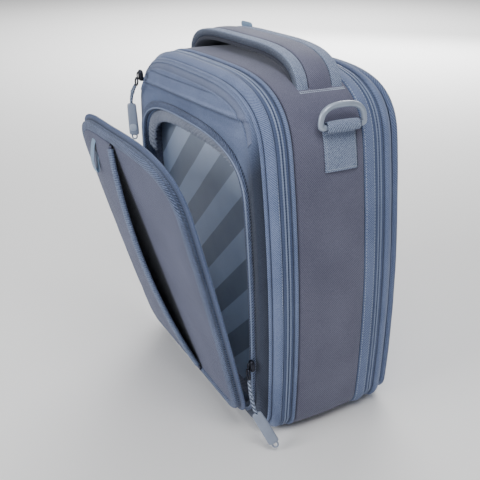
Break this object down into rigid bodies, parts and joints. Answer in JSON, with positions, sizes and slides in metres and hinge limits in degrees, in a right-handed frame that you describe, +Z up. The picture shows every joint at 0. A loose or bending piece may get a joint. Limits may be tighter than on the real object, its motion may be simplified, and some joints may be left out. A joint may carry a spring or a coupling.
{
  "type": "flight bag",
  "caption": "Soft-sided upright flight bag: padded body with zipped lid and back, arched front pocket with fold-down door, wide carry handle and side D-rings.",
  "frame": {"origin": "on the floor plane, under the middle of the bag's width, at the base of the padded gusset", "axes": "+Z up, -Y towards the front with the pocket door, +X to the bag's own left-hand side as seen from behind, which is the right-hand side seen from the front"},
  "size_m": [0.3591, 0.2605, 0.4078],
  "materials": {
    "dark_twill": "matte",
    "light_twill": "matte",
    "webbing": "matte",
    "lining": "satin",
    "elastic": "matte",
    "zip_tape": "matte",
    "ring_paint": "satin",
    "gunmetal": "gloss",
    "pull_rubber": "satin",
    "pull_cord": "matte",
    "board": "matte"
  },
  "bodies": {
    "carcass": {"main_gusset": "dark_twill", "base_board": "board", "divider_panel": "dark_twill", "front_binding": "light_twill", "front_zip_body_half": "zip_tape", "rear_binding": "light_twill", "rear_zip_body_half": "zip_tape", "handle_webbing_front": "webbing", "handle_pad": "dark_twill", "handle_webbing_rear": "webbing", "handle_lining": "dark_twill", "handle_tag": "webbing", "d_tab_right": "webbing", "d_tab_left": "webbing"},
    "front_lid": {"front_zip_lid_half": "zip_tape", "lid_side_band": "light_twill", "lid_piping": "webbing", "pocket_back_wall": "dark_twill", "pocket_lining": "lining", "pocket_front_frame": "light_twill", "pocket_side_lining": "elastic", "rim_zip_half": "zip_tape", "gathered_band": "elastic", "hook_strip": "elastic", "quick_zip": "zip_tape", "door_hinge_strip": "light_twill"},
    "pocket_door": {"door_zip_half": "zip_tape", "door_lining": "lining", "door_panel": "dark_twill", "door_binding": "light_twill", "slash_pocket": "dark_twill", "slash_binding": "elastic", "door_loop": "webbing", "door_side_tab": "webbing"},
    "back_panel": {"rear_zip_panel_half": "zip_tape", "back_side_band": "light_twill", "back_wall": "light_twill", "trolley_sleeve": "light_twill"},
    "ring_right": {"d_ring_right": "ring_paint"},
    "ring_left": {"d_ring_left": "ring_paint"},
    "pocket_runner": {"pocket_slider": "gunmetal"},
    "pocket_pull": {"pocket_pull_ring": "gunmetal", "pocket_pull_cord": "pull_cord", "pocket_pull_tab": "pull_rubber"},
    "quick_runner": {"quick_slider": "gunmetal"},
    "quick_pull": {"quick_pull_ring": "gunmetal", "quick_pull_cord": "pull_cord", "quick_pull_tab": "pull_rubber"},
    "front_zip_runner": {"front_zip_slider": "gunmetal"},
    "front_zip_pull": {"front_zip_pull_ring": "gunmetal", "front_zip_pull_cord": "pull_cord", "front_zip_pull_tab": "pull_rubber"},
    "rear_zip_runner": {"rear_zip_slider": "gunmetal"},
    "rear_zip_pull": {"rear_zip_pull_ring": "gunmetal", "rear_zip_pull_cord": "pull_cord", "rear_zip_pull_tab": "pull_rubber"}
  },
  "joints": [
    {"name": "front_lid_fold", "type": "hinge", "parent": "carcass", "child": "front_lid", "pos_m": [0, -0.03075, 0.0015], "axis": [1, 0, 0], "range_deg": [0, 90]},
    {"name": "back_panel_fold", "type": "hinge", "parent": "carcass", "child": "back_panel", "pos_m": [0, 0.07705, 0.0015], "axis": [-1, 0, 0], "range_deg": [0, 90]},
    {"name": "pocket_door_fold", "type": "hinge", "parent": "front_lid", "child": "pocket_door", "pos_m": [0, -0.0625, 0.019], "axis": [1, 0, 0], "range_deg": [-11.6, 63]},
    {"name": "d_ring_right_swing", "type": "hinge", "parent": "carcass", "child": "ring_right", "pos_m": [0.167, 0.03, 0.3374], "axis": [0, 1, 0], "range_deg": [-10, 155]},
    {"name": "d_ring_left_swing", "type": "hinge", "parent": "carcass", "child": "ring_left", "pos_m": [-0.167, 0.03, 0.3374], "axis": [0, -1, 0], "range_deg": [-10, 155]},
    {"name": "pocket_slider_travel", "type": "hinge", "parent": "front_lid", "child": "pocket_runner", "pos_m": [-1.1066, -0.0654, 0.171], "axis": [0, -1, 0], "range_deg": [0, 7.4]},
    {"name": "quick_slider_travel", "type": "hinge", "parent": "front_lid", "child": "quick_runner", "pos_m": [0, -0.0654, -0.0925], "axis": [0, 1, 0], "range_deg": [0, 30.3]},
    {"name": "front_zip_travel", "type": "hinge", "parent": "carcass", "child": "front_zip_runner", "pos_m": [0.9681, -0.0308, 0.171], "axis": [0, 1, 0], "range_deg": [0, 9.6]},
    {"name": "rear_zip_travel", "type": "hinge", "parent": "carcass", "child": "rear_zip_runner", "pos_m": [0.9681, 0.077, 0.171], "axis": [0, 1, 0], "range_deg": [0, 9.6]},
    {"name": "pocket_pull_swing", "type": "hinge", "parent": "pocket_runner", "child": "pocket_pull", "pos_m": [0.1511, -0.0698, 0.0925], "axis": [-1, 0, 0], "range_deg": [0, 100]},
    {"name": "quick_pull_swing", "type": "hinge", "parent": "quick_runner", "child": "quick_pull", "pos_m": [-0.118, -0.0698, 0.3422], "axis": [-0.7071, 0, 0.7071], "range_deg": [0, 35]},
    {"name": "front_zip_pull_swing", "type": "hinge", "parent": "front_zip_runner", "child": "front_zip_pull", "pos_m": [-0.1755, -0.0308, 0.0945], "axis": [0, 1, 0], "range_deg": [0, 100]},
    {"name": "rear_zip_pull_swing", "type": "hinge", "parent": "rear_zip_runner", "child": "rear_zip_pull", "pos_m": [-0.1755, 0.077, 0.0945], "axis": [0, 1, 0], "range_deg": [0, 100]}
  ]
}
